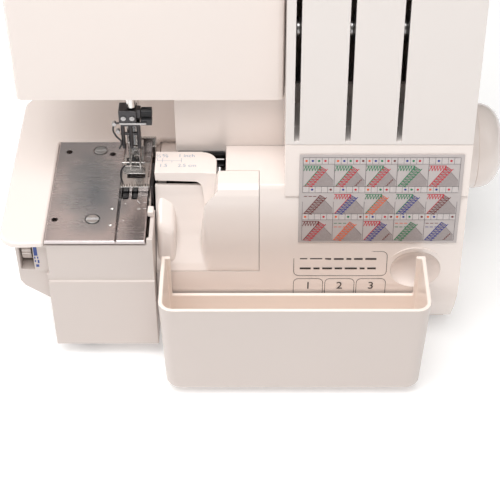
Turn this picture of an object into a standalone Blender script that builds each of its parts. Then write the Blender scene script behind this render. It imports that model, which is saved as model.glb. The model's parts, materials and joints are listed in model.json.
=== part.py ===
"""Overlock sewing machine with waste tray, looper cover, needle gear, loopers and spool stand.

Frame: X to the right, Y to the back, Z up, origin on the floor under the middle of the machine.
All sizes below are millimetres; meshes are written in metres.
"""

import math

import bmesh
import bpy
from mathutils import Matrix, Vector

MM = 0.001
GAP = 0.3  # left between two pieces that touch
WALL = 2.5  # moulded casing wall

# Overall sizes
COVER_LEFT = -151.5
FRONT = -117.5
BACK = 117.5
FOOT_H = 6.0
BED_TOP = 95.0
LEDGE_TOP = 118.0
HEAD_BOTTOM = 160.0
HEAD_TOP = 262.0

# Casing planes
CASE_RIGHT = 119.2
CASE_BACK = 60.0
PILLAR_FRONT = -21.5
PILLAR_LEFT = -50.5
COLUMN_LEFT = 13.5
HEAD_LEFT = -140.0
HEAD_FRONT = -34.0
COVER_SEAM_X = -0.9
COVER_SEAM_Z = 59.6
TENSION_Z = 146.85  # seam under the tension cover
CASE_BOTTOM = FOOT_H + 4.0 + GAP

# Bed
BED_LEFT = -125.0
BED_RIGHT = -62.5
BED_FRONT = -80.0
BED_STEP = 1.3  # the lower front stands this much proud
BED_STEP_Z = 63.0
BED_FLARE = 4.5  # the left side leans out towards the top
BED_REAR_RIGHT = PILLAR_LEFT - GAP
SHOULDER_LEFT = -143.5
SHOULDER_Z = 62.0
SHOULDER_DROP = 19.0  # how far its underside falls towards the bed
COVER_T = 4.0
DIAL_R = 9.5

# Steel plates
PLATE_T = 2.5
PLATE_FRONT = -81.5
PLATE_BACK = 12.0
PLATE_SEAM = -84.0
PLATE_RIGHT = -66.8
SLOT_FRONT, SLOT_BACK = -43.7, -30.0
FEED_SLOTS = ((-82.9, -78.8), (-77.0, -73.4))
FEED_PLAY_X = 0.5
FEED_PLAY_Y = 1.7

# Needle gear
GEAR_X = -75.0
NEEDLE_Y = -26.0
PRESSER_Y = -10.0
BAR_R = 3.0
NEEDLE_OFFSET = 2.9
NEEDLE_R = 0.6
CLAMP_Z = 138.0
CLAMP_H = 12.0
NEEDLE_TIP_Z = 103.0
FOOT_SOLE_T = 3.2
FOOT_TOP = 111.0
LIFTER_Z = 197.0

# Drive
SHAFT_Y, SHAFT_Z = 21.5, 85.0
SHAFT_R = 4.0
SHAFT_END = -45.0
WHEEL_R = 27.0
WHEEL_OUT = 32.3  # how far the hand wheel stands out of the casing
HUB_R = 6.0
BUSH_R = 8.0
MOTOR_Y, MOTOR_Z = 28.0, 40.0
MOTOR_R = 19.0
MOTOR_SHAFT_R = 3.0
PULLEY_X = (99.0, 109.0)
SHAFT_PULLEY_R = 16.5
MOTOR_PULLEY_R = 7.5
BELT_T = 1.5

# Waste tray
TRAY_LEFT, TRAY_RIGHT = -58.9, 97.3
TRAY_TOP = 74.0
TRAY_BOTTOM = 5.0
TRAY_BACK = -70.6
TRAY_BACK_H = 39.0
TRAY_DRAFT = 2.2
TRAY_T = 2.5

# Stitch chart on the front panel
CHART_X = (21.8, 115.0)
CHART_Z = (81.0, 141.0)
CHART_T = 0.5

# Thumb dimple behind the tray's right end: middle and radii along X, Y and Z
DIMPLE = (92.2, -68.8, 61.2)
DIMPLE_R = (15.2, 7.0, 13.5)

# Tension cover slots
SLOT_FIRST, SLOT_PITCH, SLOT_W = 19.9, 28.7, 3.0

# Ports in the right side, each from its low to its high (y, z) corner
SIDE_PORTS = {"power_switch": ((30.0, 40.0), (46.0, 52.0)), "power_inlet": ((28.0, 18.0), (48.0, 32.0))}

# Spool stand
STAND_HALF = 95.0
STAND_Z = 150.0
STAND_T = 4.0
SPOOL_X = (-72.0, -26.0, 26.0, 72.0)
SPOOL_Y = 84.0
POLE_Y = 106.0
POLE_R = 5.0
POLE_BORE = 3.6
ROD_R = 3.2
POLE_TOP = 272.0
TREE_Z = 284.0

# The front panel's outer face in side view, from the bottom up, as (y, z)
PANEL = [(-55.5, CASE_BOTTOM), (-64.5, 27.0), (-69.0, 40.0), (-69.6, 50.0), (-68.6, 60.0),
         (-66.8, 74.0), (-63.6, 107.0)]
PANEL_UPPER = [(-62.8, 115.0), (-59.1, 141.0), (-58.6, TENSION_Z - GAP / 2)]

for old in list(bpy.data.objects):
    bpy.data.objects.remove(old)


def finish(name, colour, roughness, metallic=0.0):
    """A Principled material."""
    material = bpy.data.materials.new(name)
    material.use_nodes = True
    shader = material.node_tree.nodes["Principled BSDF"]
    shader.inputs["Base Color"].default_value = (*colour, 1.0)
    shader.inputs["Roughness"].default_value = roughness
    shader.inputs["Metallic"].default_value = metallic
    return material


WHITE = finish("white_casing", (0.90, 0.85, 0.81), 0.25)
CREAM = finish("white_moulding", (0.88, 0.82, 0.77), 0.3)
STEEL = finish("brushed_steel_plate", (0.55, 0.54, 0.55), 0.28, 1.0)
CHROME = finish("plated_steel", (0.62, 0.62, 0.64), 0.18, 1.0)
DARK = finish("dark_cast_metal", (0.05, 0.05, 0.055), 0.45, 0.6)
CAST = finish("cast_aluminium", (0.42, 0.42, 0.43), 0.5, 1.0)
RUBBER = finish("black_rubber", (0.03, 0.03, 0.03), 0.8)
BLACK = finish("black_plastic", (0.03, 0.03, 0.035), 0.4)
PAPER = finish("printed_film", (0.80, 0.79, 0.80), 0.35)


def block(low, high, radius=0.0, axes="XYZ", segments=2):
    """A box from its low to its high corner; edges along the named axes are rounded."""
    bm = bmesh.new()
    bmesh.ops.create_cube(bm, size=1.0)
    low, high = Vector(low), Vector(high)
    for v in bm.verts:
        v.co = Vector((low[i] + (v.co[i] + 0.5) * (high[i] - low[i]) for i in range(3)))
    if radius:
        wanted = ["XYZ".index(a) for a in axes]
        edges = [e for e in bm.edges
                 if max(range(3), key=lambda i: abs(e.verts[0].co[i] - e.verts[1].co[i])) in wanted]
        bmesh.ops.bevel(bm, geom=edges, offset=radius, segments=segments, profile=0.5, affect="EDGES")
    return bm


def prism(outline, axis, low, high):
    """An outline extruded along an axis; it is (y, z) for X, (x, z) for Y and (x, y) for Z."""
    bm = bmesh.new()
    place = {"X": lambda p, t: (t, p[0], p[1]), "Y": lambda p, t: (p[0], t, p[1]),
             "Z": lambda p, t: (p[0], p[1], t)}[axis]
    ends = [[bm.verts.new(place(p, t)) for p in outline] for t in (low, high)]
    for end in ends:
        bm.faces.new(end)
    for i in range(len(outline)):
        j = (i + 1) % len(outline)
        bm.faces.new((ends[0][i], ends[0][j], ends[1][j], ends[1][i]))
    bmesh.ops.recalc_face_normals(bm, faces=bm.faces)
    return bm


def turned(profile, axis, centre, sides=24):
    """A profile of (along, radius) turned about an axis; centre is the two other coordinates."""
    bm = bmesh.new()
    across = {"X": (1, 2), "Y": (0, 2), "Z": (0, 1)}[axis]
    along = "XYZ".index(axis)
    rings = []
    for t, radius in profile:
        ring = []
        for k in range(sides if radius else 1):
            point = [0.0, 0.0, 0.0]
            point[along] = t
            point[across[0]] = centre[0] + radius * math.cos(2 * math.pi * k / sides)
            point[across[1]] = centre[1] + radius * math.sin(2 * math.pi * k / sides)
            ring.append(bm.verts.new(point))
        rings.append(ring)
    closed = len(rings[0]) > 1
    pairs = list(zip(rings, rings[1:])) + ([(rings[-1], rings[0])] if closed else [])
    for one, two in pairs:
        for k in range(sides):
            n = (k + 1) % sides
            if len(one) == len(two) == 1:
                continue
            if len(one) == 1:
                bm.faces.new((one[0], two[k], two[n]))
            elif len(two) == 1:
                bm.faces.new((one[k], one[n], two[0]))
            else:
                bm.faces.new((one[k], one[n], two[n], two[k]))
    bmesh.ops.recalc_face_normals(bm, faces=bm.faces)
    return bm


def rod(axis, centre, radius, low, high, sides=20):
    """A plain cylinder along an axis."""
    return turned([(low, 0), (low, radius), (high, radius), (high, 0)], axis, centre, sides)


def bowl(grow, front):
    """The thumb dimple's ellipsoid grown by a wall, kept behind the plane Y = front."""
    across, deep, high = (r + grow for r in DIMPLE_R)
    first = math.asin((front - DIMPLE[1]) / deep) if front > DIMPLE[1] else 0.0
    angles = [first + (math.pi / 2 - first) * k / 7 for k in range(7)]
    profile = [(front, 0)] + [(DIMPLE[1] + deep * math.sin(a), across * math.cos(a)) for a in angles]
    if front <= DIMPLE[1]:
        profile.insert(1, (front, across))
    profile.append((DIMPLE[1] + deep, 0))
    bm = turned(profile, "Y", (DIMPLE[0], DIMPLE[2]), 32)
    bmesh.ops.scale(bm, verts=bm.verts, vec=(1, 1, high / across),
                    space=Matrix.Translation((0, 0, -DIMPLE[2])))
    return bm


def pipe(axis, centre, outer, inner, low, high, sides=20):
    """A ring or tube with a bore."""
    return turned([(low, inner), (low, outer), (high, outer), (high, inner)], axis, centre, sides)


def loft(loops):
    """A solid through closed loops of points that all have the same count."""
    bm = bmesh.new()
    rings = [[bm.verts.new(p) for p in loop] for loop in loops]
    for one, two in zip(rings, rings[1:]):
        for i in range(len(one)):
            j = (i + 1) % len(one)
            bm.faces.new((one[i], one[j], two[j], two[i]))
    bm.faces.new(rings[0])
    bm.faces.new(rings[-1])
    bmesh.ops.recalc_face_normals(bm, faces=bm.faces)
    return bm


def rounded_corners(corners, steps=4):
    """Replace each (x, y, radius) corner of an outline by an arc."""
    points = []
    for i, (x, y, radius) in enumerate(corners):
        here = Vector((x, y))
        if not radius:
            points.append((x, y))
            continue
        back = (Vector(corners[i - 1][:2]) - here).normalized()
        ahead = (Vector(corners[(i + 1) % len(corners)][:2]) - here).normalized()
        half = back.angle(ahead) / 2
        centre = here + (back + ahead).normalized() * radius / math.sin(half)
        start = here + back * radius / math.tan(half) - centre
        end = here + ahead * radius / math.tan(half) - centre
        turn = start.angle_signed(end)
        for k in range(steps + 1):
            point = centre + Matrix.Rotation(-turn * k / steps, 2) @ start
            points.append((point.x, point.y))
    return points


def offset_inwards(outline, distance):
    """Move an open side-view line towards +Y and keep its heights."""
    return [(y + distance, z) for y, z in outline]


def add(name, bm, look, pivot=(0, 0, 0)):
    """Turn a bmesh into the named object, in metres, with its origin at the pivot."""
    mesh = bpy.data.meshes.new(name)
    bmesh.ops.translate(bm, verts=bm.verts, vec=-Vector(pivot))
    bmesh.ops.scale(bm, verts=bm.verts, vec=(MM, MM, MM))
    bm.to_mesh(mesh)
    bm.free()
    mesh.shade_smooth()
    mesh.set_sharp_from_angle(angle=math.radians(35))
    obj = bpy.data.objects.new(name, mesh)
    obj.location = Vector(pivot) * MM
    obj.data.materials.append(look)
    bpy.context.scene.collection.objects.link(obj)
    return obj


def tool(obj, bm, operation):
    """A Boolean with a hidden helper object."""
    count = len(obj.modifiers)
    helper = add(f"{obj.name}_tool_{count}", bm, WHITE)
    helper.hide_render = True
    helper.display_type = "WIRE"
    modifier = obj.modifiers.new(f"{operation.lower()}_{count}", "BOOLEAN")
    modifier.operation = operation
    modifier.solver = "EXACT"
    modifier.object = helper


def cut(obj, *cutters):
    for bm in cutters:
        tool(obj, bm, "DIFFERENCE")
    return obj


def fuse(obj, *extras):
    for bm in extras:
        tool(obj, bm, "UNION")
    return obj


def base_and_feet():
    """Bottom pan, stepped back behind the tray, on four rubber feet."""
    edge = WALL + 1.0
    outline = [(BED_LEFT + edge, BED_FRONT + edge), (BED_RIGHT - edge, BED_FRONT + edge),
               (BED_RIGHT - edge, PANEL[0][0] + edge), (CASE_RIGHT - edge, PANEL[0][0] + edge),
               (CASE_RIGHT - edge, CASE_BACK - edge), (BED_LEFT + edge, CASE_BACK - edge)]
    add("base_pan", prism(outline, "Z", FOOT_H, FOOT_H + 4.0), CREAM)
    spots = {"front_left": (BED_LEFT + 18, BED_FRONT + 18), "rear_left": (BED_LEFT + 18, CASE_BACK - 16),
             "front_right": (CASE_RIGHT - 18, PANEL[0][0] + 18),
             "rear_right": (CASE_RIGHT - 18, CASE_BACK - 16)}
    for place, spot in spots.items():
        profile = [(0, 0), (0, 8.0), (FOOT_H - GAP, 9.5), (FOOT_H - GAP, 0)]
        add(f"rubber_foot_{place}", turned(profile, "Z", spot, 16), RUBBER)


def bed():
    """Left bed: casing with the dial shoulder, white top cover, both steel plates and screws."""
    top = BED_TOP - COVER_T - GAP
    front_view = [(BED_LEFT, CASE_BOTTOM), (BED_RIGHT, CASE_BOTTOM),
                  (BED_RIGHT, top), (BED_LEFT - BED_FLARE, top),
                  (BED_LEFT - 0.5, BED_STEP_Z)]
    casing = add("bed_casing", prism(front_view, "Y", BED_FRONT, CASE_BACK), CREAM)
    fuse(casing, prism([(BED_LEFT, CASE_BOTTOM), (BED_RIGHT, CASE_BOTTOM), (BED_RIGHT, BED_STEP_Z),
                        (BED_LEFT - 0.5, BED_STEP_Z)], "Y", BED_FRONT - BED_STEP, BED_FRONT + 1))
    shoulder = [(BED_LEFT + 1, SHOULDER_Z - SHOULDER_DROP), (BED_LEFT + 1, top), (SHOULDER_LEFT, top),
                (SHOULDER_LEFT + 0.6, SHOULDER_Z - 3), (SHOULDER_LEFT + 3, SHOULDER_Z - 7)]
    fuse(casing, prism(shoulder, "Y", BED_FRONT + 4, CASE_BACK - 4))
    fuse(casing, block((PLATE_RIGHT + 0.5, BED_FRONT, top - 4), (BED_RIGHT, SLOT_FRONT - 9, BED_TOP - GAP)))
    cut(casing, block((BED_LEFT + WALL, BED_FRONT + WALL, 0), (BED_RIGHT - WALL, CASE_BACK - WALL, 200)))
    dial_room = block((SHOULDER_LEFT + 2.2, BED_FRONT, SHOULDER_Z + 6),
                      (BED_LEFT + 0.3, BED_FRONT + 34, top - 2.0))
    cut(casing, dial_room)
    window = block((BED_RIGHT - 5, SLOT_FRONT - 9, 40), (BED_RIGHT + 5, PILLAR_FRONT + 8, 200))
    cut(casing, window)

    left = COVER_LEFT
    rim = BED_LEFT - GAP
    outline = rounded_corners([(left, PLATE_FRONT - 3.0, 11), (rim, PLATE_FRONT - 1.5, 0),
                               (rim, PLATE_BACK + GAP, 0), (BED_REAR_RIGHT, PLATE_BACK + GAP, 2),
                               (BED_REAR_RIGHT, CASE_BACK, 3), (left, CASE_BACK, 11)])
    cover = add("bed_top_cover", prism(outline, "Z", BED_TOP - COVER_T, BED_TOP), WHITE)
    cut(cover, block((BED_RIGHT - 0.5, PLATE_BACK - 5, BED_TOP - 9),
                     (BED_REAR_RIGHT + 5, PLATE_BACK + 4, 120)))

    plate = add("cloth_plate", block((BED_LEFT, PLATE_FRONT, BED_TOP - PLATE_T),
                                     (PLATE_SEAM - GAP / 2, PLATE_BACK, BED_TOP), 0.6, "XY", 1), STEEL)
    screws = {"front": (-98.6, -62.0), "rear": (-99.0, 3.0)}
    for spot in screws.values():
        cut(plate, rod("Z", spot, 4.6, BED_TOP - 1.2, BED_TOP + 1))
        cut(plate, rod("Z", spot, 2.3, BED_TOP - 5, BED_TOP + 1, 12))
    for spot in ((-120.6, -62.4), (-118.2, 1.6), (-91.2, -0.6)):
        cut(plate, rod("Z", spot, 1.9, BED_TOP - 5, BED_TOP + 1, 16))
    for place, spot in screws.items():
        head = [(BED_TOP - 7, 0), (BED_TOP - 7, 1.9), (BED_TOP - 0.9, 1.9), (BED_TOP - 0.9, 4.2),
                (BED_TOP + 0.4, 3.8), (BED_TOP + 0.4, 0)]
        screw = add(f"plate_screw_{place}", turned(head, "Z", spot, 20), CHROME)
        cut(screw, block((spot[0] - 6, spot[1] - 0.5, BED_TOP - 0.3),
                         (spot[0] + 6, spot[1] + 0.5, BED_TOP + 2)))

    needle_plate = add("needle_plate", block((PLATE_SEAM + GAP / 2, PLATE_FRONT, BED_TOP - PLATE_T),
                                             (PLATE_RIGHT, PLATE_BACK, BED_TOP), 0.6, "XY", 1), STEEL)
    for low, high in FEED_SLOTS:
        cut(needle_plate, block((low, SLOT_FRONT, 80), (high, SLOT_BACK, 110)))
    cut(needle_plate, block((GEAR_X - 5, NEEDLE_Y - 1.5, 80), (GEAR_X + 5, NEEDLE_Y + 1.5, 110)))


def stitch_length_dial():
    """Thumb wheel in the shoulder, turned about X with its rim just proud of the front."""
    centre = (BED_FRONT + 16.5, SHOULDER_Z + 16.4)
    x = SHOULDER_LEFT + 3.0
    profile = [(x, 0), (x, DIAL_R - 1), (x + 0.8, DIAL_R), (x + 4.7, DIAL_R), (x + 5.5, DIAL_R - 1),
               (x + 5.5, 0)]
    add("stitch_length_dial", turned(profile, "X", centre, 24), CREAM, (x + 2.7, *centre))


def front_casing():
    """Front panel with the ledge beside the column and the low sill under the looper cover."""
    rear = PILLAR_FRONT - GAP
    lower = [(rear, CASE_BOTTOM), *PANEL, (-61.0, LEDGE_TOP - 3), (-58.0, LEDGE_TOP), (rear, LEDGE_TOP)]
    casing = add("front_casing", prism(lower, "X", COVER_SEAM_X, CASE_RIGHT), WHITE)
    upper = [(rear, LEDGE_TOP - 5), (-62.9, LEDGE_TOP - 5), *PANEL_UPPER, (rear, TENSION_Z - GAP / 2)]
    fuse(casing, prism(upper, "X", COLUMN_LEFT, CASE_RIGHT))
    sill_line = [p for p in PANEL if p[1] < COVER_SEAM_Z - GAP]
    sill = [(rear, CASE_BOTTOM), *sill_line, (-68.6, COVER_SEAM_Z - GAP), (rear, COVER_SEAM_Z - GAP)]
    fuse(casing, prism(sill, "X", BED_RIGHT + GAP, COVER_SEAM_X + 1))
    fuse(casing, block((-20.5, -45.2, LEDGE_TOP - 6), (COVER_SEAM_X + 1, rear, LEDGE_TOP)))
    room = [(rear + 5, 0), (PANEL[0][0] + WALL, 0), *offset_inwards(PANEL, WALL), (-60.0, LEDGE_TOP - WALL),
            (rear + 5, LEDGE_TOP - WALL)]
    cut(casing, prism(room, "X", COVER_SEAM_X + WALL, CASE_RIGHT - WALL))
    room_up = [(rear + 5, 60.0), (-58.0, 60.0), (-59.8, LEDGE_TOP - 4), (-56.4, 141.0),
               (-56.1, TENSION_Z - WALL), (rear + 5, TENSION_Z - WALL)]
    cut(casing, prism(room_up, "X", COLUMN_LEFT + WALL, CASE_RIGHT - WALL))
    under = [(rear + 5, 0), (PANEL[0][0] + WALL, 0), *offset_inwards(sill_line, WALL),
             (-66.0, COVER_SEAM_Z - WALL), (rear + 5, COVER_SEAM_Z - WALL)]
    cut(casing, prism(under, "X", BED_RIGHT + GAP + WALL, COVER_SEAM_X + 5))
    fuse(casing, bowl(WALL, DIMPLE[1] + WALL / 2))
    cut(casing, bowl(0.0, DIMPLE[1] - 8.0))

    lean = math.atan2(PANEL_UPPER[1][0] - PANEL_UPPER[0][0], PANEL_UPPER[1][1] - PANEL_UPPER[0][1])

    def face(z):
        """Panel surface at a height, between its listed points."""
        line = PANEL + PANEL_UPPER
        for (y0, z0), (y1, z1) in zip(line, line[1:]):
            if z0 <= z <= z1:
                return y0 + (y1 - y0) * (z - z0) / (z1 - z0)
        return line[-1][0]

    heights = [CHART_Z[0], 107.0, 115.0, CHART_Z[1]]
    skin = [(face(z) - GAP, z) for z in heights]
    outer = [(y - CHART_T * math.cos(lean), z) for y, z in reversed(skin)]
    add("stitch_chart", prism(skin + outer, "X", *CHART_X), PAPER)


def looper_cover():
    """Swing-down cover: flat panel on the right, hollow waste chute on the left, guide arm above."""
    left, right = BED_RIGHT + GAP, COVER_SEAM_X - GAP
    bottom = COVER_SEAM_Z + GAP
    flat = [(-68.5, bottom), (-66.8, 74.0), (-63.6, 107.0), (-61.0, LEDGE_TOP - 3), (-58.0, LEDGE_TOP),
            (-45.5, LEDGE_TOP)]
    chute = [(-68.5, bottom), (-66.3, 72.0), (-60.5, 85.0), (-54.0, 96.0), (-50.0, 102.0), (-45.5, 105.0)]
    stations = [(left, 0.0), (-44.0, 0.0), (-40.0, 0.15), (-35.0, 0.6), (-31.0, 1.0), (right, 1.0)]

    def section(x, share):
        line = [(c[0] + (f[0] - c[0]) * share, c[1] + (f[1] - c[1]) * share) for c, f in zip(chute, flat)]
        back = [(y + WALL, z - (0.0 if z < 70 else 1.2)) for y, z in line[:-1]]
        back.append((line[-1][0], line[-1][1] - WALL))
        return [(x, y, z) for y, z in line] + [(x, y, z) for y, z in reversed(back)]

    cover = add("looper_cover", loft([section(*s) for s in stations]), WHITE, (-31.0, -68.6, COVER_SEAM_Z))
    lobe = rounded_corners([(-48.5, 106.0, 2), (-54.5, 106.0, 6), (-63.0, 92.0, 12), (-68.0, 70.0, 2),
                            (-60.0, 70.0, 1), (-50.0, 99.0, 1)])
    fuse(cover, prism(lobe, "X", left + 1, left + 14))

    top = LEDGE_TOP - 2.0
    arm_line = rounded_corners([(left, top - 5.5, 0), (-35.0, top - 5.5, 9), (-33.0, top - 17, 0),
                                (-26.0, top - 17, 0), (-26.0, top, 10), (left, top, 0)])
    arm_front = -45.5 + GAP
    arm = add("cloth_guide_arm", prism(arm_line, "Y", arm_front, -25.0), WHITE)
    cut(arm, block((-70, arm_front + 2.2, 50), (-24.5, 0, top - 5.5)))
    fuse(arm, block((left + 0.3, arm_front + 1.0, 98.0), (-32.0, arm_front + 2.2, top - 4)))


def waste_tray():
    """Open tray that hooks on in front; its rear wall is low so the trimmings fall in."""
    base = TRAY_LEFT + TRAY_DRAFT, TRAY_RIGHT - TRAY_DRAFT

    def ring(x0, x1, y0, y1, z, radius):
        outline = rounded_corners([(x0, y0, radius), (x1, y0, radius), (x1, y1, 1.0), (x0, y1, 1.0)])
        return [(x, y, z) for x, y in outline]

    t = TRAY_T
    loops = [ring(base[0] + 2, base[1] - 2, FRONT + 5.0, TRAY_BACK, TRAY_BOTTOM, 7),
             ring(base[0], base[1], FRONT + 3.0, TRAY_BACK, TRAY_BOTTOM + 3, 8),
             ring(TRAY_LEFT, TRAY_RIGHT, FRONT, TRAY_BACK, TRAY_TOP, 8),
             ring(TRAY_LEFT + t, TRAY_RIGHT - t, FRONT + t, TRAY_BACK - t, TRAY_TOP, 6),
             ring(base[0] + t, base[1] - t, FRONT + 3.0 + t, TRAY_BACK - t, TRAY_BOTTOM + t + 1, 6)]
    tray = add("waste_tray", loft(loops), CREAM)
    cut(tray, block((TRAY_LEFT + t + 3, TRAY_BACK - 5, TRAY_BOTTOM + TRAY_BACK_H),
                    (TRAY_RIGHT - t - 3, TRAY_BACK + 5, 200)))


def rear_casing():
    """One moulding for pillar, right side, back and arm; open below and at the arm's front."""
    top = HEAD_TOP
    outline = [(CASE_RIGHT, CASE_BOTTOM), (CASE_RIGHT, top), (HEAD_LEFT, top), (HEAD_LEFT, HEAD_BOTTOM),
               (PILLAR_LEFT, HEAD_BOTTOM), (PILLAR_LEFT, BED_TOP - COVER_T - GAP),
               (BED_RIGHT + GAP, BED_TOP - COVER_T - GAP), (BED_RIGHT + GAP, CASE_BOTTOM)]
    casing = add("rear_casing", prism(outline, "Y", PILLAR_FRONT, CASE_BACK), WHITE)
    w = WALL
    inner = [(CASE_RIGHT - w, 0), (CASE_RIGHT - w, top - w), (HEAD_LEFT + w, top - w),
             (HEAD_LEFT + w, HEAD_BOTTOM + w), (PILLAR_LEFT + w, HEAD_BOTTOM + w),
             (PILLAR_LEFT + w, BED_TOP - COVER_T - GAP - w),
             (BED_RIGHT + GAP + w, BED_TOP - COVER_T - GAP - w),
             (BED_RIGHT + GAP + w, 0)]
    cut(casing, prism(inner, "Y", PILLAR_FRONT + w, CASE_BACK - w))
    cut(casing, block((HEAD_LEFT + w, PILLAR_FRONT - 5, HEAD_BOTTOM + w),
                      (CASE_RIGHT - w, PILLAR_FRONT + 5, top - w)))
    cut(casing, rod("Z", (GEAR_X, PRESSER_Y), BAR_R + 1.0, HEAD_BOTTOM - 5, HEAD_BOTTOM + 5))
    cut(casing, rod("X", (SHAFT_Y, SHAFT_Z), HUB_R + 1.0, CASE_RIGHT - 9, CASE_RIGHT + 9))
    cut(casing, block((GEAR_X - 4, CASE_BACK - 9, LIFTER_Z - 21),
                      (GEAR_X + 4, CASE_BACK + 9, LIFTER_Z + 21)))
    for low, high in SIDE_PORTS.values():
        cut(casing, block((CASE_RIGHT - 9, *low), (CASE_RIGHT + 9, *high)))


def side_fittings():
    """Rocker switch and mains inlet, each in its own port of the right side."""
    g = GAP
    (y0, z0), (y1, z1) = SIDE_PORTS["power_switch"]
    middle, height = (y0 + y1) / 2, (z0 + z1) / 2
    rocker = [(CASE_RIGHT - 4, y0 + 1.6), (CASE_RIGHT + 1.4, y0 + 1.2), (CASE_RIGHT + 0.2, middle),
              (CASE_RIGHT + 2.2, y1 - 1.2), (CASE_RIGHT - 4, y1 - 1.6)]
    add("power_switch", prism(rocker, "Z", z0 + 1, z1 - 1), BLACK, (CASE_RIGHT - 3, middle, height))
    (y0, z0), (y1, z1) = SIDE_PORTS["power_inlet"]
    inlet = add("power_inlet", block((CASE_RIGHT - 9, y0 + g, z0 + g),
                                     (CASE_RIGHT + 1.2, y1 - g, z1 - g), 1.5, "X"),
                BLACK)
    cut(inlet, block((CASE_RIGHT - 6, y0 + 3, z0 + 3), (CASE_RIGHT + 5, y1 - 3, z1 - 3)))


def head_covers():
    """Face cover over the needle drive, slotted tension cover, and the top cover with its handle."""
    rear = PILLAR_FRONT - GAP
    w = WALL
    right = COLUMN_LEFT - GAP
    face = add("face_cover", block((HEAD_LEFT, HEAD_FRONT, HEAD_BOTTOM),
                                   (right, rear, HEAD_TOP), 4.0, "Z"), WHITE)
    cut(face, block((HEAD_LEFT + w, HEAD_FRONT + w, HEAD_BOTTOM + w), (right - w, rear + 9, HEAD_TOP - w)))
    cut(face, rod("Z", (GEAR_X, NEEDLE_Y), BAR_R + 1.0, HEAD_BOTTOM - 5, HEAD_BOTTOM + 5))
    square = block((HEAD_LEFT, rear - 4.5, HEAD_BOTTOM), (HEAD_LEFT + w, rear, HEAD_TOP))
    fuse(face, square)

    bottom = TENSION_Z + GAP / 2
    shell = [(rear, bottom), (-58.5, bottom),
             (-49.0, HEAD_TOP - 8), (-47.0, HEAD_TOP - 3), (-42.0, HEAD_TOP),
             (rear, HEAD_TOP)]
    hollow = [(rear + 9, bottom + w), (-58.5 + w, bottom + w), (-49.0 + w, HEAD_TOP - 8),
              (-42.0 + w, HEAD_TOP - w), (rear + 9, HEAD_TOP - w)]
    cover = add("tension_cover", prism(shell, "X", COLUMN_LEFT, CASE_RIGHT), WHITE)
    cut(cover, prism(hollow, "X", COLUMN_LEFT + w, CASE_RIGHT - w))
    for k in range(3):
        x = SLOT_FIRST + k * SLOT_PITCH
        cut(cover, block((x - SLOT_W / 2, -70, bottom + 2), (x + SLOT_W / 2, -44, HEAD_TOP - 22)))
        profile = [(x - 3.4, 0), (x - 3.4, 8.5), (x - 2, 9), (x - 0.8, 5), (x + 0.8, 5), (x + 2, 9),
                   (x + 3.4, 8.5), (x + 3.4, 0)]
        add(f"tension_discs_{k + 1}", turned(profile, "X", (-38.0, 212.0), 20), CHROME)

    z = HEAD_TOP + GAP
    outline = rounded_corners([(HEAD_LEFT, HEAD_FRONT, 8),
                               (COLUMN_LEFT, HEAD_FRONT, 4), (COLUMN_LEFT, -42.0, 6),
                               (CASE_RIGHT, -42.0, 8),
                               (CASE_RIGHT, CASE_BACK, 8), (HEAD_LEFT, CASE_BACK, 8)], 3)
    add("top_cover", prism(outline, "Z", z, z + 5.0), WHITE)
    deck = z + 5.0
    axis_y, axis_z, reach = 12.0, deck + 6.5, 58.0
    for side, sign in (("left", -1), ("right", 1)):
        near, far = sorted((sign * reach, sign * (reach + 7)))
        bracket = add(f"handle_bracket_{side}",
                      block((near, axis_y - 6, deck + GAP), (far, axis_y + 6, deck + 12), 2.0, "X"), CREAM)
        cut(bracket, rod("X", (axis_y, axis_z), 2.8, -80, 80, 12))
    x = reach - GAP
    bail = [(-x, axis_y - 4, 0), (-x, axis_y + 36, 10), (x, axis_y + 36, 10), (x, axis_y - 4, 0),
            (x - 8, axis_y - 4, 0), (x - 8, axis_y + 27, 6),
            (8 - x, axis_y + 27, 6), (8 - x, axis_y - 4, 0)]
    handle = add("carry_handle", prism(rounded_corners(bail), "Z", axis_z - 4, axis_z + 4), WHITE,
                 (0, axis_y, axis_z))
    fuse(handle, rod("X", (axis_y, axis_z), 2.4, -reach - 6, -reach + 6, 12),
         rod("X", (axis_y, axis_z), 2.4, reach - 6, reach + 6, 12))


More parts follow.
